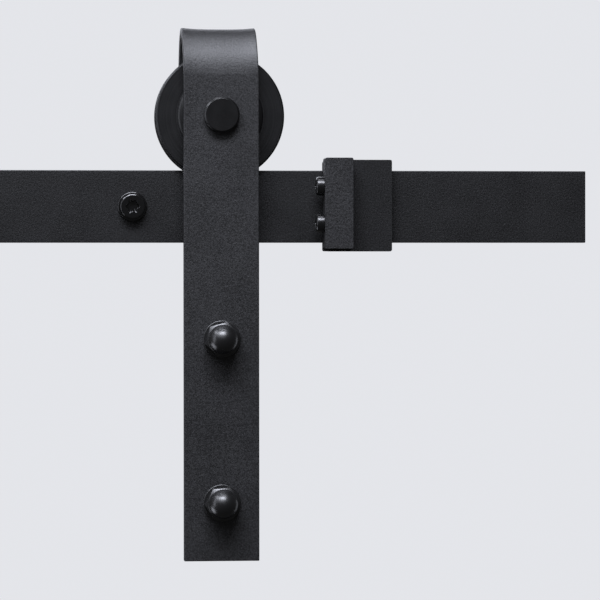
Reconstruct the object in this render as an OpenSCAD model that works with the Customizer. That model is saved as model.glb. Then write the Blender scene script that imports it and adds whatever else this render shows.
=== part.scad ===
// Sliding barn door hardware: the right-hand end of a flat-bar rail on wall spacers,
// with one strap hanger, its grooved wheel and an end stop. Millimetres, +Z up.
// The origin is on the wall, midway between the two wall fixings, at the rail's mid height.
// The wall is the plane Y = 0 and the hardware stands out of it towards -Y.

/* [Rail] */
// Length of the rail section
rail_len = 500; // [480:5:520]
// Height of the flat bar
rail_h = 40; // [40:0.5:41]
// Thickness of the flat bar
rail_t = 6; // [6:0.1:6.2]
// Overhang of the rail past its right-hand fixing
rail_overhang = 253.5; // [250:0.5:256]
// Rounding of the bar's long edges
bar_edge = 0.5; // [0.3:0.1:0.8]

/* [Wall fixings] */
// Distance between the two wall fixings
fixing_pitch = 200; // [190:5:205]
// Length of a wall spacer, which sets the gap behind the rail
spacer_len = 30; // [29.5:0.5:31]
// Diameter of a wall spacer
spacer_d = 20; // [16:1:22]
// Diameter of the fixing screw in the wall
wall_screw_d = 6.3; // [6:0.1:6.5]
// Length of the fixing screw beyond the wall face
wall_screw_len = 50; // [40:5:60]
// Diameter of the fixing screw's pan head
rail_head_d = 14; // [13:0.1:14.2]
// Diameter of the washer under that head
rail_washer_d = 16.2; // [15.6:0.1:17]

/* [Hanger strap] */
// Centre of the hanger to the right of the right-hand fixing
hanger_offset = 48.2; // [30:0.1:49]
// Width of the strap
strap_w = 41.4; // [40:0.1:41.6]
// Thickness of the strap
strap_t = 6; // [5.5:0.1:6]
// Inside gap between the strap's two legs
strap_gap = 26; // [26:0.1:26.5]
// Top of the loop above the rail's centre line
loop_top_z = 98.9; // [97.5:0.1:100]
// Extra height of the loop's bend over a half circle
bend_rise = 8; // [6:0.5:8.5]
// Radius of the bend's crown, at the middle of the bar
crown_r = 12.5; // [12:0.1:13]
// Bottom end of the front leg below the rail's centre line
strap_drop = 195.1; // [190:0.1:200]
// Bottom end of the short back leg above the rail's centre line
back_leg_z = 30; // [28:0.5:32]

/* [Wheel] */
// Radius of the wheel's flanges
wheel_r = 35.6; // [34.5:0.1:35.6]
// Radius of the groove's floor, which rolls on the rail
tread_r = 29.8; // [29.7:0.1:30.4]
// Width over the two flanges
wheel_w = 17; // [16:0.5:17]
// Width of the groove at its floor
groove_w = 7; // [6.8:0.1:7.2]
// Radius of the raised hub boss
boss_r = 24; // [21:0.5:24]
// Width over the hub bosses
hub_w = 21.6; // [20:0.2:21.6]

/* [Bearing] */
// Bore radius of the ball bearing
bearing_bore_r = 5; // [5:0.01:5.02]
// Outer radius of the ball bearing
bearing_r = 13; // [13:0.05:13.1]
// Width of the ball bearing
bearing_w = 8; // [8:0.1:8.4]
// Number of balls
ball_count = 7; // [6:1:7]

/* [Axle] */
// Diameter of the axle bolt's round head
axle_head_d = 19.5; // [18:0.1:21]
// Height of the axle bolt's head
axle_head_h = 5; // [4:0.1:5.5]
// Radius of the axle bolt's shank
axle_r = 4.95; // [4.9:0.01:4.97]

/* [Door bolts] */
// Height of the upper door bolt below the rail's centre line
door_bolt_z = 73.1; // [72:0.1:76]
// Distance between the two door bolts
door_bolt_pitch = 90; // [86:0.5:94]
// Diameter of the door bolts
door_bolt_d = 10; // [9.6:0.1:10]
// Thickness of the door that the bolts hold
door_t = 35; // [34:0.5:36]
// Diameter of the flat washer under each cap nut
cap_washer_d = 20.6; // [20:0.1:22]
// Width across the flats of the cap nuts
cap_nut_af = 17; // [16:0.5:17]
// Height of a cap nut
cap_nut_h = 18; // [17:0.5:19]

/* [End stop] */
// Left face of the stop to the right of the right-hand fixing
stop_offset = 105.3; // [105.2:0.1:108]
// Length of the stop along the rail
stop_len = 38.4; // [36:0.1:42]
// Top of the stop above the rail's centre line
stop_top_z = 25.9; // [25.2:0.1:25.9]
// Bottom of the stop below the rail's centre line
stop_drop = 24.8; // [23.8:0.1:25]
// Thickness of the stop's front web
stop_web_t = 5.7; // [5:0.1:6]
// Width of the strike block along the rail
block_w = 15.7; // [15:0.1:17]
// Depth of the strike block in front of the web
block_d = 11; // [10.5:0.1:11.5]
// Height of the strike block
block_h = 50.1; // [48:0.1:51]
// Diameter of the two strike screws' heads
strike_head_d = 10.3; // [9.5:0.1:10.5]
// Height of the two strike screws' heads
strike_head_h = 4.8; // [4.6:0.1:4.8]

/* [Hidden] */
$fn = 72;
eps = 0.01;

// Rail and wall fixings
fixing_x = fixing_pitch / 2;
rail_right_x = fixing_x + rail_overhang;
rail_left_x = rail_right_x - rail_len;
rail_back_y = -spacer_len;
rail_front_y = rail_back_y - rail_t;
rail_mid_y = rail_back_y - rail_t / 2;
rail_top_z = rail_h / 2;
screw_shank_r = 2.7;
screw_hole_r = 3.6;
rail_washer_t = 1.6;
rail_washer_bore_r = 3.3;
rail_head_h = 4.2;
screw_point_len = 8;
screw_tip_r = 0.4;
rail_rim_share = 0.74;
strike_rim_share = 0.65;
recess_share = 0.56;
recess_depth_share = 0.5;
lobe_count = 6;

// Hanger: the wheel's mid plane lies over the rail's
hanger_x = fixing_x + hanger_offset;
leg_out = strap_gap / 2 + strap_t;
strap_front_y = rail_mid_y - leg_out;
strap_inner_y = strap_front_y + strap_t;
strap_back_y = rail_mid_y + leg_out;
// the bend is a tight crown between two wide shoulders, all measured at the middle of the bar
bend_w = leg_out - strap_t / 2;
bend_h = bend_w + bend_rise;
shoulder_r = (bend_w * bend_w + bend_h * bend_h - 2 * bend_h * crown_r) / (2 * (bend_w - crown_r));
shoulder_out = shoulder_r - bend_w;
crown_up = bend_h - crown_r;
join_angle = atan2(crown_up, shoulder_out);
loop_z = loop_top_z - bend_h - strap_t / 2;
tread_gap = 0.1;
axle_z = rail_top_z + tread_r + tread_gap;
axle_hole_r = 5.2;
spotface_r = 8;
spotface_d = 0.3;
corner_r = 3;

// Axle parts
axle_chamfer = 0.75;
axle_washer_t = 1.5;
axle_washer_r = 9;
axle_nut_h = 5;
axle_nut_turn = 10;
axle_tip = 1;
sleeve_r = 7.2;
sleeve_bore_r = 5.1;

// Bearing
ball_r = 2.38;
ball_pitch_r = 9;
ball_gap = 0.1;
race_in_r = 7.4;
race_out_r = 10.6;
shield_t = 0.4;
shield_y = 3.2;
shield_gap = 0.3;
cage_t = 5.8;
cage_in_r = 8;
cage_out_r = 10;
pocket_reach = 3;
circlip_t = 1.1;
circlip_play = 0.1;
circlip_in_r = 11.8;
circlip_slot_w = 5;
circlip_groove_r = 14;

// Wheel body
wheel_bore_r = 11.6;
wheel_chamfer = 0.9;
boss_round = 4;
groove_flare = 1;

// Door bolts
lower_bolt_z = -door_bolt_z - door_bolt_pitch;
door_back_y = strap_inner_y + door_t;
strap_bolt_hole_r = 5.5;
bolt_thread_r = 4.8;
bolt_tip_gap = 1;
cap_washer_t = 2;
cap_hex_h = 8;
cap_dome_r = 8;
cap_roof = 4;
cap_face_inset = 1.7;
upper_nut_turn = -15;
lower_nut_turn = -4;
washer_clearance = 0.5;
back_washer_t = 1.6;
back_washer_r = 12;
back_head_r = 10;
back_head_h = 4;
back_head_chamfer = 1;
back_socket_af = 6;
back_socket_depth = 3;

// End stop
stop_x = fixing_x + stop_offset;
stop_gap = 0.3;
web_back_y = rail_front_y - stop_gap;
web_front_y = web_back_y - stop_web_t;
hook_inset = 4;
hook_t = 3.7;
hook_z = 14;
stop_corner_r = 1;
clamp_relief_r = 2;
block_bottom_z = -23.4;
strike_z = 0.9;
strike_pitch = 20.4;
strike_y = web_front_y - block_d / 2;
strike_len = 8.5;
strike_thread_r = 2.5;
block_screw_x = 12;
block_screw_pitch = 16;
block_screw_r = 2;
block_screw_head_r = 3.7;
block_screw_head_h = 2;
block_screw_len = 11.5;
block_socket_af = 2.5;
block_socket_depth = 1.4;
set_screw_r = 2.5;
set_screw_xs = [10, 31];
set_screw_gap = 0.05;
set_screw_sink = 0.3;
set_socket_af = 2.6;
set_socket_depth = 2.5;

// A cylinder along Y from y0 to y1, at x and z
module y_rod(r, y0, y1, x = 0, z = 0)
    translate([x, y1, z]) rotate([90, 0, 0]) cylinder(r = r, h = y1 - y0);

// A cone frustum along Y: radius r0 at y0 and r1 at y1
module y_cone(r0, r1, y0, y1, x = 0, z = 0)
    translate([x, y1, z]) rotate([90, 0, 0]) cylinder(r1 = r1, r2 = r0, h = y1 - y0);

// A ring along Y
module y_ring(r_out, r_in, y0, y1, x = 0, z = 0)
    difference() {
        y_rod(r_out, y0, y1, x, z);
        y_rod(r_in, y0 - 1, y1 + 1, x, z);
    }

// A hexagonal prism along Y, turned by turn degrees
module y_hex(af, y0, y1, x = 0, z = 0, turn = 0)
    translate([x, y1, z]) rotate([90, turn, 0]) cylinder(r = af / 2 / cos(30), h = y1 - y0, $fn = 6);

// A rectangle with round corners, from its low corner
module round_rect(w, h, r) {
    translate([r, 0]) square([w - 2 * r, h]);
    translate([0, r]) square([w, h - 2 * r]);
    for (x = [r, w - r], y = [r, h - r]) translate([x, y]) circle(r);
}

// Takes the square edge off a corner: what lies outside a radius r, thick along Y from y0
module corner_cut(r, y0, thick)
    translate([0, y0 - 1, 0]) difference() {
        translate([-1, 0, 0]) cube([r + 1, thick + 2, r + 1]);
        y_rod(r, -1, thick + 3, r, 0);
    }

// A body turned about the wheel's axis: children draw radius along X and depth along Y
module turned_on_axle()
    translate([hanger_x, rail_mid_y, axle_z]) rotate([90, 0, 0]) rotate_extrude() children();

// A six-lobe driver recess, open upwards, with its mouth at z = 0 and r to the tips of its lobes
module lobed_recess(r, depth) {
    lobe_r = r * 0.22;
    translate([0, 0, -depth]) {
        cylinder(r = r * 0.74, h = depth + 1);
        for (i = [0:lobe_count - 1]) rotate([0, 0, i * 360 / lobe_count])
            translate([r - lobe_r, 0, 0]) cylinder(r = lobe_r, h = depth + 1);
    }
}

// A pan head that stands along +Z from z = 0, with its driver recess; rim_share of it is straight
module pan_head(r, h, rim_share) {
    rim_h = h * rim_share;
    crown = h - rim_h;
    difference() {
        union() {
            cylinder(r = r, h = rim_h);
            translate([0, 0, rim_h]) cylinder(r = r - crown, h = crown);
            translate([0, 0, rim_h]) rotate_extrude() translate([r - crown, 0]) intersection() {
                circle(crown);
                square(crown);
            }
        }
        translate([0, 0, h]) lobed_recess(r * recess_share, h * recess_depth_share);
    }
}

module rail()
    color([0.17, 0.17, 0.18]) difference() {
        translate([rail_left_x, 0, 0]) rotate([90, 0, 90]) linear_extrude(rail_len)
            translate([rail_front_y, -rail_h / 2]) round_rect(rail_t, rail_h, bar_edge);
        for (side = [-1, 1]) y_rod(screw_hole_r, rail_front_y - 1, rail_back_y + 1, side * fixing_x);
    }

module wall_spacers()
    color([0.15, 0.15, 0.16]) for (side = [-1, 1])
        y_ring(spacer_d / 2, screw_hole_r, rail_back_y, 0, side * fixing_x);

module rail_washers()
    color([0.1, 0.1, 0.11]) for (side = [-1, 1])
        y_ring(rail_washer_d / 2, rail_washer_bore_r, rail_front_y - rail_washer_t, rail_front_y,
               side * fixing_x);

module wall_screws() {
    head_y = rail_front_y - rail_washer_t;
    point_y = wall_screw_len - screw_point_len;
    color([0.08, 0.08, 0.09]) for (side = [-1, 1]) {
        translate([side * fixing_x, head_y, 0]) rotate([90, 0, 0])
            pan_head(rail_head_d / 2, rail_head_h, rail_rim_share);
        y_rod(screw_shank_r, head_y - eps, 0, side * fixing_x);
        y_rod(wall_screw_d / 2, 0, point_y, side * fixing_x);
        y_cone(wall_screw_d / 2, screw_tip_r, point_y, wall_screw_len, side * fixing_x);
    }
}

// The J of the strap in side view: Y runs across and Z up
// A piece of the bent bar's edge, from one angle to another round the arc's centre
module bend_arc(r, start, end) {
    reach = 3 * (r + strap_t);
    middle = (start + end) / 2;
    intersection() {
        difference() {
            circle(r + strap_t / 2);
            circle(r - strap_t / 2);
        }
        polygon([[0, 0], reach * [cos(start), sin(start)], reach * [cos(middle), sin(middle)],
                 reach * [cos(end), sin(end)]]);
    }
}

module strap_outline() {
    front_leg_h = loop_z + strap_drop;
    translate([strap_front_y, -strap_drop]) square([strap_t, front_leg_h]);
    translate([strap_back_y - strap_t, back_leg_z]) square([strap_t, loop_z - back_leg_z]);
    translate([rail_mid_y, loop_z]) {
        for (side = [0, 1]) mirror([side, 0]) translate([-shoulder_out, 0])
            bend_arc(shoulder_r, 0, join_angle);
        translate([0, crown_up]) bend_arc(crown_r, join_angle, 180 - join_angle);
    }
}

module strap()
    color([0.2, 0.2, 0.21]) difference() {
        translate([hanger_x - strap_w / 2, 0, 0]) rotate([90, 0, 90]) linear_extrude(strap_w)
            strap_outline();
        y_rod(axle_hole_r, strap_front_y - 1, strap_back_y + 1, hanger_x, axle_z);
        y_rod(spotface_r, strap_inner_y - spotface_d, strap_back_y - strap_t + spotface_d,
              hanger_x, axle_z);
        for (z = [-door_bolt_z, lower_bolt_z])
            y_rod(strap_bolt_hole_r, strap_front_y - 1, strap_inner_y + 1, hanger_x, z);
        // the back leg's two lower corners are rounded
        for (side = [0, 1]) translate([hanger_x, 0, back_leg_z + corner_r]) mirror([side, 0, 0])
            translate([-strap_w / 2, 0, 0]) mirror([0, 0, 1])
                corner_cut(corner_r, strap_back_y - strap_t, strap_t);
    }

module axle_bolt() {
    head_y = strap_front_y - axle_head_h;
    tip_y = strap_back_y + axle_washer_t + axle_nut_h + axle_tip;
    color([0.12, 0.12, 0.12]) {
        y_rod(axle_head_d / 2, head_y + axle_chamfer, strap_front_y, hanger_x, axle_z);
        y_cone(axle_head_d / 2 - axle_chamfer, axle_head_d / 2, head_y, head_y + axle_chamfer,
               hanger_x, axle_z);
        y_rod(axle_r, strap_front_y - eps, tip_y, hanger_x, axle_z);
    }
}

module axle_sleeve_front()
    color([0.6, 0.6, 0.62])
        y_ring(sleeve_r, sleeve_bore_r, strap_inner_y - spotface_d, rail_mid_y - bearing_w / 2,
               hanger_x, axle_z);

module axle_sleeve_back()
    color([0.6, 0.6, 0.62])
        y_ring(sleeve_r, sleeve_bore_r, rail_mid_y + bearing_w / 2, strap_back_y - strap_t + spotface_d,
               hanger_x, axle_z);

module axle_washer()
    color([0.12, 0.12, 0.13])
        y_ring(axle_washer_r, axle_hole_r, strap_back_y, strap_back_y + axle_washer_t, hanger_x, axle_z);

module axle_nut() {
    nut_y = strap_back_y + axle_washer_t;
    color([0.12, 0.12, 0.13]) difference() {
        y_hex(cap_nut_af, nut_y, nut_y + axle_nut_h, hanger_x, axle_z, axle_nut_turn);
        y_rod(axle_r, nut_y - 1, nut_y + axle_nut_h + 1, hanger_x, axle_z);
    }
}

module bearing_inner_ring()
    color([0.7, 0.7, 0.72]) turned_on_axle() difference() {
        translate([bearing_bore_r, -bearing_w / 2]) square([race_in_r - bearing_bore_r, bearing_w]);
        translate([ball_pitch_r, 0]) circle(ball_r + ball_gap);
    }

module bearing_outer_ring()
    color([0.7, 0.7, 0.72]) turned_on_axle() difference() {
        translate([race_out_r, -bearing_w / 2]) square([bearing_r - race_out_r, bearing_w]);
        translate([ball_pitch_r, 0]) circle(ball_r + ball_gap);
    }

// Where each ball sits round the axle; children are drawn there
module at_each_ball()
    for (i = [0:ball_count - 1]) translate([hanger_x, rail_mid_y, axle_z])
        rotate([0, i * 360 / ball_count, 0]) translate([ball_pitch_r, 0, 0]) children();

module bearing_balls()
    color([0.85, 0.85, 0.87]) at_each_ball() sphere(ball_r);

module ball_cage()
    color([0.5, 0.42, 0.25]) difference() {
        y_ring(cage_out_r, cage_in_r, rail_mid_y - cage_t / 2, rail_mid_y + cage_t / 2, hanger_x, axle_z);
        at_each_ball() translate([-pocket_reach, 0, 0]) rotate([0, 90, 0])
            cylinder(r = ball_r + ball_gap, h = 2 * pocket_reach);
    }

module bearing_shield(side)
    translate([0, rail_mid_y, 0]) mirror([0, side < 0 ? 0 : 1, 0])
        y_ring(race_out_r, race_in_r + shield_gap, -shield_y - shield_t, -shield_y, hanger_x, axle_z);

module bearing_shield_front() color([0.2, 0.2, 0.2]) bearing_shield(-1);

module bearing_shield_back() color([0.2, 0.2, 0.2]) bearing_shield(1);

// Half section of the wheel: radius along X, depth along Y with the back side positive
module wheel_section() {
    half_w = wheel_w / 2;
    half_hub = hub_w / 2;
    half_groove = groove_w / 2;
    rim_r = wheel_r - wheel_chamfer;
    difference() {
        union() {
            translate([wheel_bore_r, -half_hub]) square([boss_r - wheel_bore_r - boss_round, hub_w]);
            translate([wheel_bore_r, -half_w]) square([rim_r - wheel_bore_r, wheel_w]);
            for (side = [-1, 1])
                translate([boss_r - boss_round - eps, side * (half_hub - boss_round)]) circle(boss_round);
            polygon([[rim_r - eps, -half_w], [wheel_r, wheel_chamfer - half_w],
                     [wheel_r, half_w - wheel_chamfer], [rim_r - eps, half_w]]);
        }
        // the groove that the rail runs in, wider at its mouth
        polygon([[tread_r, -half_groove], [wheel_r + 1, -half_groove - groove_flare],
                 [wheel_r + 1, half_groove + groove_flare], [tread_r, half_groove]]);
        // bearing seat, open at the back, with a groove for the circlip
        translate([wheel_bore_r - 1, -bearing_w / 2])
            square([bearing_r - wheel_bore_r + 1, half_hub + bearing_w]);
        translate([wheel_bore_r - 1, bearing_w / 2])
            square([circlip_groove_r - wheel_bore_r + 1, circlip_t + circlip_play]);
    }
}

module wheel()
    color([0.13, 0.13, 0.14]) turned_on_axle() mirror([0, 1]) wheel_section();

module wheel_circlip() {
    clip_y = rail_mid_y + (bearing_w + circlip_play) / 2;
    color([0.45, 0.45, 0.47]) difference() {
        y_ring(circlip_groove_r - circlip_play, circlip_in_r, clip_y, clip_y + circlip_t,
               hanger_x, axle_z);
        translate([hanger_x - circlip_slot_w / 2, clip_y - 1, axle_z - circlip_groove_r - 1])
            cube([circlip_slot_w, circlip_t + 2, circlip_groove_r]);
    }
}

// A through bolt with a low round head behind the door; only its plain shank lies in the door
module door_bolt(z) {
    head_y = door_back_y + back_washer_t;
    head_back_y = head_y + back_head_h;
    chamfer_y = head_back_y - back_head_chamfer;
    tip_y = strap_front_y - cap_washer_t - cap_nut_h + cap_roof + bolt_tip_gap;
    color([0.12, 0.12, 0.13]) difference() {
        union() {
            y_rod(bolt_thread_r, tip_y, strap_inner_y + eps, hanger_x, z);
            y_rod(door_bolt_d / 2, strap_inner_y, door_back_y, hanger_x, z);
            y_rod(bolt_thread_r, door_back_y - eps, head_y + eps, hanger_x, z);
            y_rod(back_head_r, head_y, chamfer_y, hanger_x, z);
            y_cone(back_head_r, back_head_r - back_head_chamfer, chamfer_y, head_back_y, hanger_x, z);
        }
        y_hex(back_socket_af, head_back_y - back_socket_depth, head_back_y + 1, hanger_x, z);
    }
}

module door_bolt_upper() door_bolt(-door_bolt_z);

module door_bolt_lower() door_bolt(lower_bolt_z);

module door_back_washers()
    color([0.12, 0.12, 0.13]) for (z = [-door_bolt_z, lower_bolt_z])
        y_ring(back_washer_r, bolt_thread_r + washer_clearance, door_back_y, door_back_y + back_washer_t,
               hanger_x, z);

module front_washer(z)
    color([0.14, 0.14, 0.15])
        y_ring(cap_washer_d / 2, bolt_thread_r + washer_clearance, strap_front_y - cap_washer_t,
               strap_front_y, hanger_x, z);

module front_washer_upper() front_washer(-door_bolt_z);

module front_washer_lower() front_washer(lower_bolt_z);

// A domed cap nut: hexagon with chamfered corners, short neck and round dome
module cap_nut(z, turn) {
    base_y = strap_front_y - cap_washer_t;
    hex_y = base_y - cap_hex_h;
    dome_y = base_y - cap_nut_h + cap_dome_r;
    face_r = cap_nut_af / 2 / cos(30) - cap_face_inset;
    color([0.14, 0.14, 0.15]) difference() {
        union() {
            // a steep cone takes the front corners off the hexagon
            intersection() {
                y_hex(cap_nut_af, hex_y, base_y, hanger_x, z, turn);
                y_cone(face_r, face_r + cap_face_inset * cap_hex_h, hex_y, base_y, hanger_x, z);
            }
            y_rod(cap_dome_r, dome_y, hex_y + 1, hanger_x, z);
            translate([hanger_x, dome_y, z]) rotate([90, 0, 0]) rotate_extrude() intersection() {
                circle(cap_dome_r);
                square(cap_dome_r);
            }
        }
        y_rod(bolt_thread_r, base_y - cap_nut_h + cap_roof, base_y + 1, hanger_x, z);
    }
}

module cap_nut_upper() cap_nut(-door_bolt_z, upper_nut_turn);

module cap_nut_lower() cap_nut(lower_bolt_z, lower_nut_turn);

// The stop's clamp: a front web with lips that hook over the rail's top and bottom edges
module stop_clamp() {
    stop_h = stop_top_z + stop_drop;
    hook_front_y = rail_back_y + stop_gap;
    hook_back_y = hook_front_y + hook_t;
    hook_x = stop_x + hook_inset;
    hook_len = stop_len - hook_inset;
    slot_z = rail_top_z + stop_gap;
    color([0.16, 0.16, 0.17]) difference() {
        union() {
            translate([stop_x, web_back_y, -stop_drop]) rotate([90, 0, 0]) linear_extrude(stop_web_t)
                round_rect(stop_len, stop_h, stop_corner_r);
            translate([hook_x, web_back_y - eps, slot_z])
                cube([hook_len, hook_back_y - web_back_y + eps, stop_top_z - slot_z]);
            translate([hook_x, web_back_y - eps, -stop_drop])
                cube([hook_len, hook_back_y - web_back_y + eps, stop_drop - slot_z]);
            translate([hook_x, hook_front_y, hook_z]) cube([hook_len, hook_t, slot_z - hook_z + eps]);
            translate([hook_x, hook_front_y, -slot_z - eps])
                cube([hook_len, hook_t, slot_z - hook_z + eps]);
        }
        // the wheel's flange passes this corner when the strap meets the strike screws
        translate([stop_x, 0, stop_top_z - clamp_relief_r])
            corner_cut(clamp_relief_r, web_front_y, stop_web_t);
        for (x = set_screw_xs)
            translate([stop_x + x, rail_mid_y, slot_z - 1]) cylinder(r = set_screw_r, h = 10);
        at_block_screws() {
            y_rod(block_screw_r, web_front_y - 1, web_back_y + 1);
            y_cone(block_screw_r, block_screw_head_r, web_back_y - block_screw_head_h, web_back_y);
        }
    }
}

module at_block_screws()
    for (side = [-1, 1])
        translate([stop_x + block_screw_x, 0, strike_z + side * block_screw_pitch / 2]) children();

module block_screws()
    color([0.1, 0.1, 0.11]) at_block_screws() difference() {
        union() {
            y_rod(block_screw_r, web_back_y - block_screw_len, web_back_y - block_screw_head_h + eps);
            y_cone(block_screw_r, block_screw_head_r, web_back_y - block_screw_head_h, web_back_y);
        }
        y_hex(block_socket_af, web_back_y - block_socket_depth, web_back_y + 1);
    }

module at_strike_screws()
    for (side = [-1, 1]) translate([stop_x, strike_y, strike_z + side * strike_pitch / 2])
        rotate([0, -90, 0]) children();

module strike_block()
    color([0.21, 0.21, 0.22]) difference() {
        translate([stop_x, web_front_y, block_bottom_z]) rotate([90, 0, 0]) linear_extrude(block_d)
            round_rect(block_w, block_h, stop_corner_r);
        at_strike_screws() translate([0, 0, -strike_len])
            cylinder(r = strike_thread_r, h = strike_len + 1);
        at_block_screws() y_rod(block_screw_r, web_back_y - block_screw_len, web_front_y + 1);
    }

module strike_screws()
    color([0.08, 0.08, 0.09]) at_strike_screws() {
        pan_head(strike_head_d / 2, strike_head_h, strike_rim_share);
        translate([0, 0, -strike_len]) cylinder(r = strike_thread_r, h = strike_len + eps);
    }

module set_screws() {
    tip_z = rail_top_z + set_screw_gap;
    screw_h = stop_top_z - set_screw_sink - tip_z;
    color([0.1, 0.1, 0.11]) for (x = set_screw_xs)
        translate([stop_x + x, rail_mid_y, tip_z]) difference() {
        cylinder(r = set_screw_r, h = screw_h);
        translate([0, 0, screw_h - set_socket_depth])
            cylinder(r = set_socket_af / 2 / cos(30), h = set_socket_depth + 1, $fn = 6);
    }
}

rail();
wall_spacers();
rail_washers();
wall_screws();
strap();
axle_bolt();
axle_sleeve_front();
axle_sleeve_back();
axle_washer();
axle_nut();
bearing_inner_ring();
door_bolt_upper();
door_bolt_lower();
door_back_washers();
front_washer_upper();
front_washer_lower();
cap_nut_upper();
cap_nut_lower();
wheel();
bearing_outer_ring();
bearing_balls();
ball_cage();
bearing_shield_front();
bearing_shield_back();
wheel_circlip();
stop_clamp();
strike_block();
strike_screws();
block_screws();
set_screws();
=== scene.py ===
import math

import bmesh
import bpy
from mathutils import Matrix, Vector


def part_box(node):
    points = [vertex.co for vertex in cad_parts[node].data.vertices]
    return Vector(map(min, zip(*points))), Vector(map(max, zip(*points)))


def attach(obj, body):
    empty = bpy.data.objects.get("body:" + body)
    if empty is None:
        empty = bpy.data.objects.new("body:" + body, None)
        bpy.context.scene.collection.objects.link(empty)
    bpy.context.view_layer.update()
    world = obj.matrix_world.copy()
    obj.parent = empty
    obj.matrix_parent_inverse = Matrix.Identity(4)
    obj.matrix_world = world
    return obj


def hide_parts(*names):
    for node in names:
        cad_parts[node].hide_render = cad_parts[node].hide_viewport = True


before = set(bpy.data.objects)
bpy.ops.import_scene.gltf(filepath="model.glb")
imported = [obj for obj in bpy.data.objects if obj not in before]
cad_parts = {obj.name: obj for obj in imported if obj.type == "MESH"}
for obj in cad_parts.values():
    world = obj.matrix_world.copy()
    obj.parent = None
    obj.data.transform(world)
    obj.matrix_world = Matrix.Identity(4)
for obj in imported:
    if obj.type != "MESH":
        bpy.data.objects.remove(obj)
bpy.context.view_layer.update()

scene = bpy.context.scene
mm = 0.001


# A wire is one socket of a shader; sums on it add Math nodes.
class Wire:
    def __init__(self, tree, socket=None):
        self.tree = tree
        self.socket = socket

    # Adds a node of a type: settings first, then the values or wires of its sockets.
    def node(self, kind, settings=None, sockets=None, out=0):
        made = self.tree.nodes.new("ShaderNode" + kind)
        for key, value in (settings or {}).items():
            setattr(made, key, value)
        for key, value in (sockets or {}).items():
            if isinstance(value, Wire):
                self.tree.links.new(value.socket, made.inputs[key])
            else:
                made.inputs[key].default_value = value
        return Wire(self.tree, made.outputs[out] if made.outputs else None)

    def math(self, operation, first, second=0.0):
        return self.node("Math", {"operation": operation}, {0: first, 1: second})

    def __add__(self, other):
        return self.math("ADD", self, other)

    def __radd__(self, other):
        return self.math("ADD", other, self)

    def __sub__(self, other):
        return self.math("SUBTRACT", self, other)

    def __rsub__(self, other):
        return self.math("SUBTRACT", other, self)

    def __mul__(self, other):
        return self.math("MULTIPLY", self, other)

    def __rmul__(self, other):
        return self.math("MULTIPLY", other, self)

    # A smooth step from low to high
    def step(self, low, high):
        sockets = {"Value": self, "From Min": low, "From Max": high}
        return self.node("MapRange", {"interpolation_type": "SMOOTHSTEP"}, sockets)

    def vector(self, operation, other=(0, 0, 0)):
        out = "Value" if operation in ("LENGTH", "DOT_PRODUCT") else 0
        return self.node("VectorMath", {"operation": operation}, {0: self, 1: other}, out)

    # Noise whose features are about size across; on a place, or along a line of values
    def noise(self, size, detail=2.0, roughness=0.5):
        sockets = {"Vector": self, "Scale": 1 / size, "Detail": detail, "Roughness": roughness}
        return self.node("TexNoise", None, sockets)

    def lineNoise(self, size, detail=2.0):
        sockets = {"W": self, "Scale": 1 / size, "Detail": detail}
        return self.node("TexNoise", {"noise_dimensions": "1D"}, sockets)

    def blend(self, first, second):
        return self.node("Mix", {"data_type": "RGBA"}, {0: self, 6: first, 7: second}, 2)


def newMaterial(name):
    material = bpy.data.materials.new(name)
    material.use_nodes = True
    material.node_tree.nodes.clear()
    return material, Wire(material.node_tree)


def grey(value, blue=1.05):
    return (value, value, value * blue, 1.0)


# Powder coat: fine pebbled grain, faint clouding and a few light specks
def powderCoat(name, look):
    material, start = newMaterial(name)
    place = start.node("TexCoord", out="Object")
    grain = place.noise(look["grain"], 3.0, 0.6)
    pebble = place.noise(look["pebble"], 2.0)
    cloud = place.noise(look["cloud"], 2.0)
    speck = place.noise(look["speck"], 0.0)
    speck = speck.step(look["speckFrom"], look["speckFrom"] + look["speckSoft"])
    tone = (grain - 0.5) * look["grainTone"] + (cloud - 0.5) * look["cloudTone"] + 0.5
    colour = tone.step(0.0, 1.0).blend(look["dark"], look["light"])
    colour = (speck * look["speckShare"]).blend(colour, look["speckColour"])
    rough = look["roughness"] + (cloud - 0.5) * look["roughnessSpread"] + (grain - 0.5) * look["grainRough"]
    height = pebble * look["pebbleHeight"] + grain * look["grainHeight"]
    bump = start.node("Bump", None, {"Strength": 1.0, "Distance": 1.0, "Height": height})
    surface = start.node("BsdfPrincipled", None, {
        "Base Color": colour, "Roughness": rough, "Normal": bump, "Specular IOR Level": look["gloss"]})
    start.node("OutputMaterial", None, {"Surface": surface})
    return material


cloudTone = 0.6  # how strongly handling marks change a turned surface's tone


# A turned or formed surface: rings round an axis of the piece, fine grain and slight handling marks
def turned(name, look, centre=(0, 0, 0), plane=(1, 0, 1)):
    material, start = newMaterial(name)
    place = start.node("TexCoord", out="Object")
    radius = place.vector("SUBTRACT", centre).vector("MULTIPLY", plane).vector("LENGTH")
    rings = radius.lineNoise(look["ring"], 3.0)
    grain = place.noise(look["grain"], 3.0, 0.6)
    cloud = place.noise(look["cloud"], 3.0)
    tone = (rings - 0.5) * look["ringTone"] + (grain - 0.5) * look["grainTone"]
    tone = tone + (cloud - 0.5) * cloudTone + 0.5
    colour = tone.step(0.0, 1.0).blend(look["dark"], look["light"])
    rough = look["roughness"] + (rings - 0.5) * look["ringRough"] + (cloud - 0.5) * look["roughnessSpread"]
    height = rings * look["ringHeight"] + grain * look["grainHeight"]
    bump = start.node("Bump", None, {"Strength": 1.0, "Distance": 1.0, "Height": height})
    surface = start.node("BsdfPrincipled", None, {
        "Base Color": colour, "Roughness": rough, "Normal": bump, "Metallic": look["metal"],
        "Specular IOR Level": look["gloss"]})
    start.node("OutputMaterial", None, {"Surface": surface})
    return material


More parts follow.
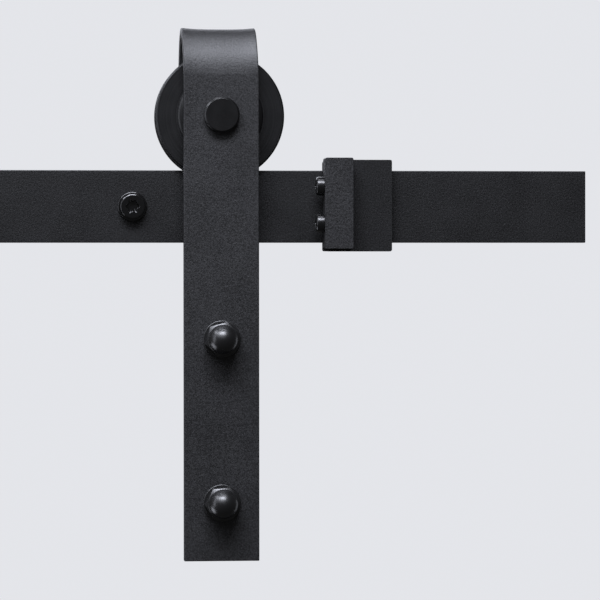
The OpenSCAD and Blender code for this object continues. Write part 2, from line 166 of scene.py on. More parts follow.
coatLook = {
    "dark": grey(0.008), "light": grey(0.034),
    "speckColour": grey(0.11), "speckShare": 0.3, "speckFrom": 0.72, "speckSoft": 0.08,
    "grain": 0.75 * mm, "pebble": 1.1 * mm, "cloud": 22 * mm, "speck": 0.7 * mm,
    "grainTone": 3.2, "cloudTone": 0.4, "grainHeight": 0.1 * mm, "pebbleHeight": 0.1 * mm,
    "roughness": 0.46, "roughnessSpread": 0.1, "grainRough": 0.1, "gloss": 0.62,
}
# A darker copy of the powder coat for the rail, wall spacers and stop clamp: its darker colours are painted
# shade for these set-back parts; the lower gloss is part of the finish
shadedCoatLook = {
    **coatLook, "dark": grey(0.003), "light": grey(0.017), "speckColour": grey(0.045), "gloss": 0.48,
}
wheelLook = {
    "dark": grey(0.004), "light": grey(0.012), "metal": 0.0, "gloss": 0.52,
    "ring": 0.7 * mm, "grain": 0.6 * mm, "cloud": 14 * mm, "ringTone": 1.7, "grainTone": 0.6,
    "ringHeight": 0.011 * mm, "grainHeight": 0.01 * mm,
    "roughness": 0.36, "ringRough": 0.12, "roughnessSpread": 0.1,
}
axleLook = {
    "dark": grey(0.002), "light": grey(0.005), "metal": 0.0, "gloss": 0.6,
    "ring": 0.8 * mm, "grain": 0.6 * mm, "cloud": 8 * mm, "ringTone": 0.3, "grainTone": 0.9,
    "ringHeight": 0.002 * mm, "grainHeight": 0.012 * mm,
    "roughness": 0.33, "ringRough": 0.05, "roughnessSpread": 0.1,
}
satinLook = {
    "dark": grey(0.004), "light": grey(0.008), "metal": 0.0, "gloss": 1.0,
    "ring": 0.5 * mm, "grain": 0.5 * mm, "cloud": 9 * mm, "ringTone": 0.5, "grainTone": 0.4,
    "ringHeight": 0.002 * mm, "grainHeight": 0.003 * mm,
    "roughness": 0.34, "ringRough": 0.05, "roughnessSpread": 0.08,
}
zincLook = {
    "dark": grey(0.003), "light": grey(0.006), "metal": 0.0, "gloss": 1.0,
    "ring": 0.4 * mm, "grain": 0.5 * mm, "cloud": 6 * mm, "ringTone": 0.5, "grainTone": 0.4,
    "ringHeight": 0.001 * mm, "grainHeight": 0.001 * mm,
    "roughness": 0.14, "ringRough": 0.04, "roughnessSpread": 0.06,
}
steelLook = {
    "dark": grey(0.42, 1.0), "light": grey(0.6, 1.0), "metal": 1.0, "gloss": 0.5,
    "ring": 0.25 * mm, "grain": 0.4 * mm, "cloud": 5 * mm, "ringTone": 0.8, "grainTone": 0.4,
    "ringHeight": 0.001 * mm, "grainHeight": 0.001 * mm,
    "roughness": 0.24, "ringRough": 0.12, "roughnessSpread": 0.08,
}
shieldLook = {**steelLook, "dark": grey(0.2, 1.0), "light": grey(0.3, 1.0), "roughness": 0.4}
brassLook = {**steelLook, "dark": (0.4, 0.3, 0.13, 1), "light": (0.62, 0.5, 0.28, 1)}
sideZincLook = {**zincLook, "roughness": 0.27, "gloss": 0.8}


# The arc that rounds a corner of a profile
def roundedCorner(before, at, after, radius, steps):
    back, ahead = Vector(before) - Vector(at), Vector(after) - Vector(at)
    half = back.angle(ahead) / 2
    reach = min(radius / math.tan(half), back.length * 0.49, ahead.length * 0.49)
    radius = reach * math.tan(half)
    middle = (back.normalized() + ahead.normalized()).normalized()
    centre = Vector(at) + middle * (radius / math.sin(half))
    first = Vector(at) + back.normalized() * reach - centre
    last = Vector(at) + ahead.normalized() * reach - centre
    start = math.atan2(first.y, first.x)
    turn = (math.atan2(last.y, last.x) - start + math.pi) % (2 * math.pi) - math.pi
    angles = [start + turn * i / steps for i in range(steps + 1)]
    return [(centre.x + radius * math.cos(a), centre.y + radius * math.sin(a)) for a in angles]


# A profile of (radius, along, round) corners as plain points
def softProfile(corners, closed=True, steps=4):
    points, count = [], len(corners)
    for i, (x, y, radius) in enumerate(corners):
        if radius <= 0 or (not closed and i in (0, count - 1)):
            points.append((x, y))
        else:
            before, after = corners[i - 1][:2], corners[(i + 1) % count][:2]
            points += roundedCorner(before, (x, y), after, radius, steps)
    return points


def valueAt(value, angle):
    return value(angle) if callable(value) else value


# Turns a profile of (radius, along) pairs about the X, Y or Z axis. Both may depend on the angle.
def spun(profile, axis="Y", steps=96, closed=True):
    frameOf = {"X": ((0, 1, 0), (0, 0, 1), (1, 0, 0)), "Y": ((1, 0, 0), (0, 0, 1), (0, 1, 0)),
               "Z": ((1, 0, 0), (0, 1, 0), (0, 0, 1))}
    across, up, along = [Vector(v) for v in frameOf[axis]]
    points, rings = [], []
    for radius, place in profile:
        if not callable(radius) and radius < 1e-9:
            rings.append([len(points)] * steps)
            points.append(along * valueAt(place, 0))
            continue
        rings.append(list(range(len(points), len(points) + steps)))
        for i in range(steps):
            angle = 2 * math.pi * i / steps
            size = valueAt(radius, angle)
            side = across * (size * math.cos(angle)) + up * (size * math.sin(angle))
            points.append(side + along * valueAt(place, angle))
    pairs = list(zip(rings, rings[1:])) + ([(rings[-1], rings[0])] if closed else [])
    faces = []
    for low, high in pairs:
        for i in range(steps):
            j = (i + 1) % steps
            face = list(dict.fromkeys((low[i], low[j], high[j], high[i])))
            if len(face) > 2:
                faces.append(face)
    return points, faces


def makePiece(name, shapes, at=(0, 0, 0)):
    points, faces = [], []
    for morePoints, moreFaces in shapes:
        faces += [[i + len(points) for i in face] for face in moreFaces]
        points += morePoints
    mesh = bpy.data.meshes.new(name)
    mesh.from_pydata(points, [], faces)
    work = bmesh.new()
    work.from_mesh(mesh)
    bmesh.ops.recalc_face_normals(work, faces=work.faces)
    work.to_mesh(mesh)
    work.free()
    piece = bpy.data.objects.new(name, mesh)
    piece.location = at
    scene.collection.objects.link(piece)
    return piece


# Turns a piece's modifiers into its mesh
def settle(piece):
    bpy.context.view_layer.update()
    mesh = bpy.data.meshes.new_from_object(piece.evaluated_get(bpy.context.evaluated_depsgraph_get()))
    piece.modifiers.clear()
    piece.data = mesh


def cutAway(piece, cutters):
    for cutter in cutters:
        cut = piece.modifiers.new("Cut", "BOOLEAN")
        cut.object = cutter
        cut.solver = "EXACT"
    settle(piece)
    for cutter in cutters:
        bpy.data.objects.remove(cutter)


def bevel(piece, width, segments=3, angle=30):
    edge = piece.modifiers.new("Edges", "BEVEL")
    edge.width, edge.segments = width, segments
    edge.limit_method, edge.angle_limit = "ANGLE", math.radians(angle)
    edge.use_clamp_overlap = True
    edge.miter_outer = "MITER_ARC"


# Shades a piece, gives it its finish and hangs it on its body in place of the CAD nodes
def fit(piece, body, slotName, material, *nodes, sharp=40):
    mesh = piece.data
    mesh.materials.clear()
    mesh.materials.append(material)
    mesh.shade_smooth()
    mesh.set_sharp_from_angle(angle=math.radians(sharp))
    piece.modifiers.new("Normals", "WEIGHTED_NORMAL").keep_sharp = True
    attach(piece, body)
    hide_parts(*nodes)


# A round cutter along Y
def drill(name, radius, start, end, at):
    profile = [(0, start), (radius, start), (radius, end), (0, end)]
    return makePiece(name, [spun(profile, steps=64, closed=False)], at)


# A clean copy of a CAD node's shape, ready for bevels
def shapeOf(node, name):
    work = bmesh.new()
    work.from_mesh(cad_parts[node].data)
    bmesh.ops.remove_doubles(work, verts=work.verts, dist=1e-6)
    bmesh.ops.dissolve_limit(work, angle_limit=math.radians(0.3), verts=work.verts, edges=work.edges)
    points = [v.co.copy() for v in work.verts]
    faces = [[v.index for v in face.verts] for face in work.faces]
    work.free()
    return makePiece(name, [(points, faces)])


coat = powderCoat("powderCoat", coatLook)
# The shaded copy of the powder coat: darker colours painted in as shade on the set-back parts
shadedCoat = powderCoat("shadedCoat", shadedCoatLook)
wheelBlack = turned("turnedBlack", wheelLook)
axleBlack = turned("matteBlack", axleLook)
satinBlack = turned("satinBlack", satinLook)
blackZinc = turned("blackZinc", zincLook)
print("materials made")


# Points round a flat bar's section: (across, out)
def barSection(width, thick, radius, columns=14, rows=3, cornerSteps=4):
    w, t, r = width / 2, thick / 2, max(radius, 0.01 * mm)
    corners = [(w - r, t - r, 0), (-w + r, t - r, 90), (-w + r, -t + r, 180), (w - r, -t + r, 270)]
    points = []
    for i, (x, y, start) in enumerate(corners):
        for k in range(cornerSteps + 1):
            a = math.radians(start + 90 * k / cornerSteps)
            points.append((x + r * math.cos(a), y + r * math.sin(a)))
        nextX, nextY, nextStart = corners[(i + 1) % 4]
        a = math.radians(nextStart)
        end = (nextX + r * math.cos(a), nextY + r * math.sin(a))
        parts = columns if i % 2 == 0 else rows
        first = points[-1]
        for k in range(1, parts):
            points.append((first[0] + (end[0] - first[0]) * k / parts,
                           first[1] + (end[1] - first[1]) * k / parts))
    return points


# placeAt gives the centre and the outward direction at a distance along the bar
def sweptBar(look, length, placeAt, across, stations, widthAt=None, bend=None):
    ends = look["endRound"]
    quarter = [math.pi / 2 * i / 5 for i in range(6)]
    rings = [(ends * (1 - math.cos(a)), ends * (1 - math.sin(a))) for a in quarter]
    rings += [(s, 0.0) for s in stations if ends < s < length - ends]
    rings += [(length - ends * (1 - math.cos(a)), ends * (1 - math.sin(a))) for a in reversed(quarter)]
    points, faces = [], []
    for s, inset in rings:
        centre, out = placeAt(s)
        width = (widthAt(s) if widthAt else look["width"]) - 2 * inset
        section = barSection(width, look["thick"] - 2 * inset, look["edgeRound"] - inset)
        for x, n in section:
            if bend:
                x, n = bend(s, x, n)
            points.append(centre + across * x + out * n)
    count = len(section)
    for k in range(len(rings) - 1):
        for i in range(count):
            j = (i + 1) % count
            faces.append([k * count + i, k * count + j, (k + 1) * count + j, (k + 1) * count + i])
    last = (len(rings) - 1) * count
    faces.append(list(range(count)))
    faces.append([last + i for i in range(count)])
    return points, faces


# Rail and its wall fixings
railLow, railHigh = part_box("rail")
railLook = {"width": railHigh.z - railLow.z, "thick": railHigh.y - railLow.y, "edgeRound": 0.5 * mm,
            "endRound": 0.4 * mm, "holeRadius": 3.6 * mm, "drillReach": 20 * mm}
screwBoxLow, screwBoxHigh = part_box("wall_screws")
washerLow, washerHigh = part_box("rail_washers")
washerRadius = (washerHigh.z - washerLow.z) / 2
fixingXs = (washerLow.x + washerRadius, washerHigh.x - washerRadius)
railMid = (railLow + railHigh) / 2


def railAt(s):
    return Vector((railLow.x + s, railMid.y, railMid.z)), Vector((0, -1, 0))


railLength = railHigh.x - railLow.x
railStations = [railLength * i / 50 for i in range(1, 50)]
rail = makePiece("railBar", [sweptBar(railLook, railLength, railAt, Vector((0, 0, 1)), railStations)])
reach = railLook["drillReach"]
cutAway(rail, [drill("hole", railLook["holeRadius"], -reach, reach, (x, railMid.y, 0)) for x in fixingXs])
fit(rail, "rail", "powder_coat", shadedCoat, "rail")

spacerLook = {"round": 0.5 * mm, "bore": 3.6 * mm, "boreRound": 0.3 * mm}
spacerLow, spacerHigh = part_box("wall_spacers")
spacerRadius = (spacerHigh.z - spacerLow.z) / 2
screwLook = {
    "head": 7.0 * mm, "headHigh": 4.2 * mm, "rim": 3.1 * mm, "crown": 1.1 * mm,
    "lobe": 3.4 * mm, "lobeSwing": 0.55 * mm, "lobes": 6, "recess": 2.1 * mm, "shank": 2.7 * mm,
    "crest": 3.15 * mm, "root": 2.25 * mm, "pitch": 2.6 * mm, "point": 8 * mm, "threadStep": 0.2 * mm,
    "lap": 0.2 * mm,
}
threadLook = {"runIn": 1.5, "ridge": 0.3, "tip": 0.08}  # in turns, in turns, share left at the point


# The head of a pan-head screw with a six-lobe recess, its under side at 0 and its face towards minus
def panHead(look, shankEnd, axis="Y", sign=1):
    def lobes(scale):
        return lambda a: scale * (look["lobe"] + look["lobeSwing"] * math.cos(look["lobes"] * a))
    top = -look["headHigh"]
    flatRadius = look["head"] - look["crown"]
    bottom = top + look["recess"]
    profile = [(0, bottom), (lobes(0.86), bottom), (lobes(0.95), top + 0.86 * look["recess"]),
               (lobes(0.985), top + 0.15 * mm), (lobes(1.01), top + 0.04 * mm), (lobes(1.04), top)]
    for i in range(13):
        a = math.pi / 2 * i / 12
        profile.append((flatRadius + look["crown"] * math.sin(a),
                        -look["rim"] - look["crown"] * math.cos(a)))
    profile += [(look["head"], -0.3 * mm), (look["head"] - 0.08 * mm, -0.1 * mm),
                (look["head"] - 0.3 * mm, 0), (look["shank"] + 0.3 * mm, 0),
                (look["shank"], 0.3 * mm), (look["shank"], shankEnd), (0, shankEnd)]
    return spun([(r, a * sign) for r, a in profile], axis, 120, closed=False)


# A screw thread from start to end along Y. It runs out at its start, and may narrow to a point at its end
def thread(look, start, end, steps=36):
    rings = int((end - start) / look["threadStep"])
    profile = [(0, start)]
    for k in range(rings + 1):
        y = start + (end - start) * k / rings
        runIn = min(1.0, (y - start) / (threadLook["runIn"] * look["pitch"]))
        taper = min(1.0, (end - y) / look["point"] + threadLook["tip"]) if look["point"] else 1.0

        def radius(angle, y=y, runIn=runIn, taper=taper):
            phase = (y / look["pitch"] - angle / (2 * math.pi)) % 1
            ridge = max(0.0, 1 - abs(phase - 0.5) / threadLook["ridge"])
            core = look["root"] + (look["shank"] - look["root"]) * (1 - runIn)
            return (core + (look["crest"] - core) * ridge) * taper
        profile.append((radius, y))
    profile.append((0, end))
    return spun(profile, "Y", steps, closed=False)


wallPlane = 0.0
headBase = screwBoxLow.y + screwLook["headHigh"]
washerLook = {
    "round": 0.55 * mm, "backRound": 0.15 * mm, "bore": 3.3 * mm,
    "boreFront": 0.2 * mm, "boreBack": 0.1 * mm,
}
for side, x in zip(("Left", "Right"), fixingXs):
    spacer = spun(softProfile([
        (spacerLook["bore"], spacerLow.y, spacerLook["boreRound"]),
        (spacerRadius, spacerLow.y, spacerLook["round"]), (spacerRadius, spacerHigh.y, spacerLook["round"]),
        (spacerLook["bore"], spacerHigh.y, spacerLook["boreRound"])]))
    spacerPiece = makePiece("wallSpacer" + side, [spacer], (x, 0, 0))
    fit(spacerPiece, "rail", "powder_coat", shadedCoat, "wall_spacers")
    washer = spun(softProfile([
        (washerLook["bore"], washerLow.y, washerLook["boreFront"]),
        (washerRadius, washerLow.y, washerLook["round"]),
        (washerRadius, washerHigh.y, washerLook["backRound"]),
        (washerLook["bore"], washerHigh.y, washerLook["boreBack"])]))
    washerPiece = makePiece("railWasher" + side, [washer], (x, 0, 0))
    fit(washerPiece, "rail", "black_zinc", blackZinc, "rail_washers")
    head = panHead(screwLook, wallPlane - headBase)
    tail = thread(screwLook, wallPlane - headBase - screwLook["lap"], screwBoxHigh.y - headBase)
    screwPiece = makePiece("wallScrew" + side, [head, tail], (x, headBase, 0))
    fit(screwPiece, "rail", "black_zinc", blackZinc, "wall_screws")
print("rail and wall fixings made")


# Strap
strapLow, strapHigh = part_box("strap")
strapLook = {
    "width": strapHigh.x - strapLow.x, "thick": 6 * mm, "edgeRound": 0.6 * mm, "endRound": 0.5 * mm,
    "backEnd": 30 * mm, "backCorner": 3 * mm, "rise": 8 * mm, "crown": 12.5 * mm,
    "lean": 0.85 * mm, "flare": 0.8 * mm, "pinch": 0.35 * mm,
    "axleHole": 5.2 * mm, "spotface": 8 * mm, "spotfaceDeep": 0.3 * mm, "boltHole": 5.5 * mm,
    "drillReach": 5 * mm,
}
strapMid = (strapLow + strapHigh) / 2
crown = strapLook["crown"]
bendWide = (strapHigh.y - strapLow.y - strapLook["thick"]) / 2
bendTall = bendWide + strapLook["rise"]
shoulder = (bendWide ** 2 + bendTall ** 2 - 2 * bendTall * crown) / (2 * (bendWide - crown))
joinAngle = math.atan2(bendTall - crown, shoulder - bendWide)
shoulderLength = shoulder * joinAngle
bendLength = 2 * shoulderLength + crown * (math.pi - 2 * joinAngle)
loopZ = strapHigh.z - strapLook["thick"] / 2 - bendTall
frontLeg = loopZ - strapLow.z
strapLength = frontLeg + bendLength + loopZ - strapLook["backEnd"]


# The middle of the bar and its outward side: front leg, shoulder, crown, shoulder, back leg
def strapAt(s):
    t = s - frontLeg
    if t < 0:
        return Vector((strapMid.x, strapLow.y + strapLook["thick"] / 2, strapLow.z + s)), Vector((0, -1, 0))
    if t >= bendLength:
        back = strapHigh.y - strapLook["thick"] / 2
        return Vector((strapMid.x, back, loopZ - (t - bendLength))), Vector((0, 1, 0))
    if t < shoulderLength:
        a, radius, aside, up = t / shoulder, shoulder, shoulder - bendWide, 0
    elif t < bendLength - shoulderLength:
        a, radius, aside, up = joinAngle + (t - shoulderLength) / crown, crown, 0, bendTall - crown
    else:
        a, radius, aside, up = math.pi - (bendLength - t) / shoulder, shoulder, bendWide - shoulder, 0
    out = Vector((0, -math.cos(a), math.sin(a)))
    return Vector((strapMid.x, strapMid.y + aside, loopZ + up)) + out * radius, out


# The short back leg has rounded lower corners
def strapWidth(s):
    r = strapLook["backCorner"]
    left = strapLength - s
    if left >= r:
        return strapLook["width"]
    return strapLook["width"] - 2 * (r - math.sqrt(max(0.0, r * r - (r - left) ** 2)))


# Bending lifts the corners a little, narrows the outside and squeezes the inside wider.
# The back half leans to the left.
def strapBend(s, x, n):
    share = min(1.0, max(0.0, (s - frontLeg) / bendLength))
    amount = abs(math.sin(math.pi * share)) ** 0.6
    lean = strapLook["lean"] * min(1.0, 2 * share)
    edge = abs(x) / (strapLook["width"] / 2)
    narrow = strapLook["pinch"] * amount * 2 * n / strapLook["thick"] * edge
    return x - math.copysign(narrow, x) - lean, n + strapLook["flare"] * amount * (edge ** 3 - 0.85)


strapStations = [frontLeg * i / 30 for i in range(1, 31)]
strapStations += [frontLeg + bendLength * i / 56 for i in range(1, 57)]
strapStations += [strapLength - strapLook["backCorner"] * (i / 8) ** 2 for i in range(1, 9)]
strapStations = sorted(strapStations)
strap = makePiece("strapBar", [sweptBar(strapLook, strapLength, strapAt, Vector((1, 0, 0)), strapStations,
                                        strapWidth, strapBend)])
axleLow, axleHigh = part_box("axle_bolt")
axleMid = (axleLow + axleHigh) / 2
gapFront, gapBack = strapLow.y + strapLook["thick"], strapHigh.y - strapLook["thick"]
axleHole, spotface, deep = strapLook["axleHole"], strapLook["spotface"], strapLook["spotfaceDeep"]
axleCutter = [(0, -0.1), (axleHole, -0.1), (axleHole, gapFront - deep), (spotface, gapFront - deep),
              (spotface, gapBack + deep), (axleHole, gapBack + deep), (axleHole, 0.1), (0, 0.1)]
boltZs = [sum(c.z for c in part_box(node)) / 2 for node in ("door_bolt_upper", "door_bolt_lower")]
cutters = [makePiece("axleHole", [spun(axleCutter, steps=64, closed=False)], (strapMid.x, 0, axleMid.z))]
cutters += [drill("boltHole", strapLook["boltHole"], strapLow.y - strapLook["drillReach"],
                  gapFront + strapLook["drillReach"], (strapMid.x, 0, z)) for z in boltZs]
cutAway(strap, cutters)
fit(strap, "hanger", "powder_coat", coat, "strap")
print("strap made")


# Axle
axleShape = {
    "head": 9.75 * mm, "chamfer": 0.9 * mm, "edge": 0.15 * mm, "shank": 4.95 * mm, "crest": 4.95 * mm,
    "root": 4.3 * mm, "pitch": 1.5 * mm, "point": 0, "threadStep": 0.12 * mm, "lap": 1 * mm,
}
axleCentre = (axleMid.x, 0, axleMid.z)


def axleBolt(shape, front, underHead, shankEnd, tip):
    profile = softProfile([
        (0, front, 0), (shape["head"] - shape["chamfer"], front, shape["edge"]),
        (shape["head"], front + shape["chamfer"], shape["edge"]), (shape["head"], underHead, 0.1 * mm),
        (shape["shank"], underHead, 0.2 * mm), (shape["shank"], shankEnd, 0), (0, shankEnd, 0)],
        closed=False)
    shapes = [spun(profile, steps=144, closed=False), thread(shape, shankEnd - shape["lap"], tip)]
    return makePiece("axleBolt", shapes, axleCentre)


bolt = axleBolt(axleShape, axleLow.y, strapLow.y, strapHigh.y, axleHigh.y)
fit(bolt, "hanger", "matte_black", axleBlack, "axle_bolt")


# A washer or sleeve with its own rounding at the front and the back
def ringPiece(name, node, look, slotName, material, steps=96):
    low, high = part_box(node)
    mid, radius = (low + high) / 2, (high.z - low.z) / 2
    profile = softProfile([
        (look["bore"], low.y, look["boreRound"]), (radius, low.y, look["front"]),
        (radius, high.y, look["back"]), (look["bore"], high.y, look["boreRound"])])
    piece = makePiece(name, [spun(profile, steps=steps)], (mid.x, 0, mid.z))
    fit(piece, "hanger", slotName, material, node)


# Radius of a hexagon at an angle. Its corners are softened within a small angle on each side.
def hexRadius(acrossFlats, soft, turn, softAngle=0.09):
    def radius(angle):
        a = (angle - math.radians(turn)) % (math.pi / 3) - math.pi / 6
        plain = acrossFlats / 2 / math.cos(a)
        toCorner = math.pi / 6 - abs(a)
        if toCorner >= softAngle:
            return plain
        corner = acrossFlats / 2 / math.cos(math.pi / 6)
        return min(plain, corner - soft * (1 - (toCorner / softAngle) ** 2))
    return radius


steel = turned("bearingSteel", steelLook, axleCentre)
sleeveSteel = turned("groundSteel", steelLook)
shieldSteel = turned("shieldSteel", shieldLook, axleCentre)
cageBrass = turned("cageBrass", brassLook, axleCentre)
sleeveLook = {"bore": 5.1 * mm, "boreRound": 0.15 * mm, "front": 0.3 * mm, "back": 0.3 * mm}
ringPiece("axleSleeveFront", "axle_sleeve_front", sleeveLook, "bearing_steel", sleeveSteel)
ringPiece("axleSleeveBack", "axle_sleeve_back", sleeveLook, "bearing_steel", sleeveSteel)
axleWasherLook = {"bore": 5.2 * mm, "boreRound": 0.15 * mm, "front": 0.1 * mm, "back": 0.4 * mm}
ringPiece("axleWasher", "axle_washer", axleWasherLook, "satin_black", satinBlack)

nutShape = {
    "flats": 17 * mm, "corner": 0.12 * mm, "faceRadius": 8.1 * mm, "slope": 0.55,
    "bore": 4.95 * mm, "boreChamfer": 0.5 * mm, "edge": 0.15 * mm, "turn": 10,
}


# A hexagon nut with both faces chamfered
def nutPiece(name, node, shape, slotName, material):
    low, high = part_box(node)
    mid = (low + high) / 2
    outer = hexRadius(shape["flats"], shape["corner"], shape["turn"])

    def dip(angle):
        return max(0.0, (outer(angle) - shape["faceRadius"]) * shape["slope"])
    bore, cut = shape["bore"], shape["boreChamfer"]
    profile = [
        (bore, low.y + cut), (bore + cut, low.y), (shape["faceRadius"], low.y),
        (outer, lambda a: low.y + dip(a)), (outer, lambda a: high.y - dip(a)),
        (shape["faceRadius"], high.y), (bore + cut, high.y), (bore, high.y - cut)]
    piece = makePiece(name, [spun(profile, steps=144)], (mid.x, 0, mid.z))
    bevel(piece, shape["edge"], 2, 18)
    fit(piece, "hanger", slotName, material, node, sharp=50)


nutPiece("axleNut", "axle_nut", nutShape, "satin_black", satinBlack)
print("axle made")


# Door bolts, washers and cap nuts
capShape = {
    "flats": 17 * mm, "corner": 0.1 * mm, "faceInset": 1.7 * mm, "faceDeep": 1.0 * mm, "dome": 8 * mm,
    "hexHigh": 8 * mm, "neckHigh": 0.6 * mm, "bore": 4.8 * mm, "edge": 0.16 * mm,
    "turns": {"Upper": 15, "Lower": 4},
}
boltShape = {
    "shank": 5 * mm, "thread": 4.8 * mm, "tip": 0.6 * mm, "head": 10 * mm, "headHigh": 4 * mm,
    "headRound": 1.0 * mm, "socketFlats": 6 * mm, "socketDeep": 3 * mm, "edge": 0.15 * mm,
}
frontWasherLook = {"bore": 5.3 * mm, "boreRound": 0.15 * mm, "front": 0.5 * mm, "back": 0.15 * mm}
doorWasherLook = {"bore": 5.3 * mm, "radius": 12 * mm}
doorWasherLow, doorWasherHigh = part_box("door_back_washers")


def capNut(shape, name, turn, low, high, at):
    outer = hexRadius(shape["flats"], shape["corner"], turn)
    dome = shape["dome"]
    faceRadius = shape["flats"] / 2 / math.cos(math.pi / 6) - shape["faceInset"]
    slope = shape["faceDeep"] / shape["faceInset"]
    front = high - shape["hexHigh"]
    profile = [(shape["bore"], high), (lambda a: outer(a) - 0.25 * mm, high), (outer, high - 0.2 * mm),
               (outer, lambda a: front + max(0.0, (outer(a) - faceRadius) * slope)), (faceRadius, front)]
    profile += [(dome + 0.1 * mm, front), (dome, front - 0.12 * mm), (dome, front - shape["neckHigh"])]
    for i in range(25):
        a = math.pi / 2 * i / 24
        profile.append((dome * math.cos(a) if i < 24 else 0, low + dome - dome * math.sin(a)))
    piece = makePiece(name, [spun(profile, steps=180, closed=False)], at)
    bevel(piece, shape["edge"], 3, 22)
    return piece


def doorBolt(shape, name, low, high, at):
    socket = hexRadius(shape["socketFlats"], 0.03 * mm, 0)
    crest, shank, head, edge = shape["thread"], shape["shank"], shape["head"], shape["edge"]
    headY, socketY = high - shape["headHigh"], high - shape["socketDeep"]
    profile = [(0, low), (crest - shape["tip"], low), (crest, low + shape["tip"]),
               (crest, gapFront - 0.3 * mm), (shank, gapFront), (shank, headY - 1.8 * mm),
               (crest, headY - 1.6 * mm), (crest, headY), (head - edge, headY), (head, headY + edge)]
    rounded = shape["headRound"]
    for i in range(9):
        a = math.pi / 2 * i / 8
        profile.append((head - rounded * (1 - math.cos(a)), high - rounded * (1 - math.sin(a))))
    profile += [(lambda a: socket(a) + edge, high), (socket, high - edge), (socket, socketY), (0, socketY)]
    return makePiece(name, [spun(profile, steps=144, closed=False)], at)


for level, z in zip(("Upper", "Lower"), boltZs):
    node = level.lower()
    at = (strapMid.x, 0, z)
    low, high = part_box("cap_nut_" + node)
    cap = capNut(capShape, "capNut" + level, capShape["turns"][level], low.y, high.y, at)
    fit(cap, "hanger", "satin_black", satinBlack, "cap_nut_" + node, sharp=50)
    ringPiece("frontWasher" + level, "front_washer_" + node, frontWasherLook, "satin_black", satinBlack,
              steps=120)

    low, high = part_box("door_bolt_" + node)
    bolt = doorBolt(boltShape, "doorBolt" + level, low.y, high.y, at)
    fit(bolt, "hanger", "satin_black", satinBlack, "door_bolt_" + node)
    washer = spun(softProfile([
        (doorWasherLook["bore"], doorWasherLow.y, 0.1 * mm),
        (doorWasherLook["radius"], doorWasherLow.y, 0.15 * mm),
        (doorWasherLook["radius"], doorWasherHigh.y, 0.45 * mm),
        (doorWasherLook["bore"], doorWasherHigh.y, 0.2 * mm)]), steps=120)
    washerPiece = makePiece("doorWasher" + level, [washer], at)
    fit(washerPiece, "hanger", "satin_black", satinBlack, "door_back_washers")
print("door fixings made")


# Wheel and bearing
wheelLow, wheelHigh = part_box("wheel")
wheelMid = (wheelLow + wheelHigh) / 2
wheelShape = {
    "width": 17 * mm, "tread": 29.8 * mm, "grooveHalf": 3.5 * mm, "flare": 0.84 * mm, "chamfer": 0.9 * mm,
    "bossFlat": 20 * mm, "bossRound": 4.4 * mm, "bore": 11.6 * mm, "seat": 13 * mm, "seatFront": 4 * mm,
    "clip": 14 * mm, "clipWide": 1.2 * mm,
}


# Half section of the wheel: front boss, rim and groove, back boss, bearing seat
def wheelProfile(shape, rim, hub):
    half, groove, flared = shape["width"] / 2, shape["grooveHalf"], shape["grooveHalf"] + shape["flare"]
    cut, tread, boss = shape["chamfer"], shape["tread"], shape["bossRound"]
    seat, seatFront, clip = shape["seat"], shape["seatFront"], shape["clip"]
    clipBack = seatFront + shape["clipWide"]
    bossArc = []
    for i in range(11):
        a = math.acos((hub - half - boss) / -boss) * i / 10
        bossArc.append((shape["bossFlat"] + boss * math.sin(a), hub - boss * (1 - math.cos(a))))
    front = [(r, -y, 0) for r, y in bossArc]
    back = [(r, y, 0) for r, y in reversed(bossArc)]
    rimCorners = [
        (rim - cut, -half, 0.2 * mm), (rim, -half + cut, 0.2 * mm), (rim, -flared, 0.35 * mm),
        (tread, -groove, 0.6 * mm), (tread, groove, 0.6 * mm), (rim, flared, 0.35 * mm),
        (rim, half - cut, 0.2 * mm), (rim - cut, half, 0.2 * mm)]
    seatCorners = [
        (seat, hub, 0.3 * mm), (seat, clipBack, 0), (clip, clipBack, 0), (clip, seatFront, 0),
        (seat, seatFront, 0), (seat, -seatFront, 0), (shape["bore"], -seatFront, 0)]
    return softProfile([(shape["bore"], -hub, 0.4 * mm)] + front + rimCorners + back + seatCorners)


rim, hub = (wheelHigh.x - wheelLow.x) / 2, (wheelHigh.y - wheelLow.y) / 2
wheel = makePiece("trackWheel", [spun(wheelProfile(wheelShape, rim, hub), steps=216)], wheelMid)
fit(wheel, "wheel", "turned_black", wheelBlack, "wheel")
for node, material in {"bearing_inner_ring": steel, "bearing_outer_ring": steel, "bearing_balls": steel,
                       "ball_cage": cageBrass, "bearing_shield_front": shieldSteel,
                       "bearing_shield_back": shieldSteel, "wheel_circlip": shieldSteel}.items():
    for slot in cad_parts[node].material_slots:
        slot.material = material
print("wheel made")


# End stop
stopLook = {"clampEdge": 0.7 * mm, "blockEdge": 0.5 * mm, "screwEdge": 0.12 * mm}
clamp = shapeOf("stop_clamp", "stopClamp")
bevel(clamp, stopLook["clampEdge"], 3)
fit(clamp, "stop", "powder_coat", shadedCoat, "stop_clamp")
block = shapeOf("strike_block", "strikeBlock")
bevel(block, stopLook["blockEdge"], 4)
fit(block, "stop", "powder_coat", coat, "strike_block")
for node, name in {"block_screws": "blockScrews", "set_screws": "setScrews"}.items():
    screws = shapeOf(node, name)
    bevel(screws, stopLook["screwEdge"], 2)
    fit(screws, "stop", "black_zinc", blackZinc, node)

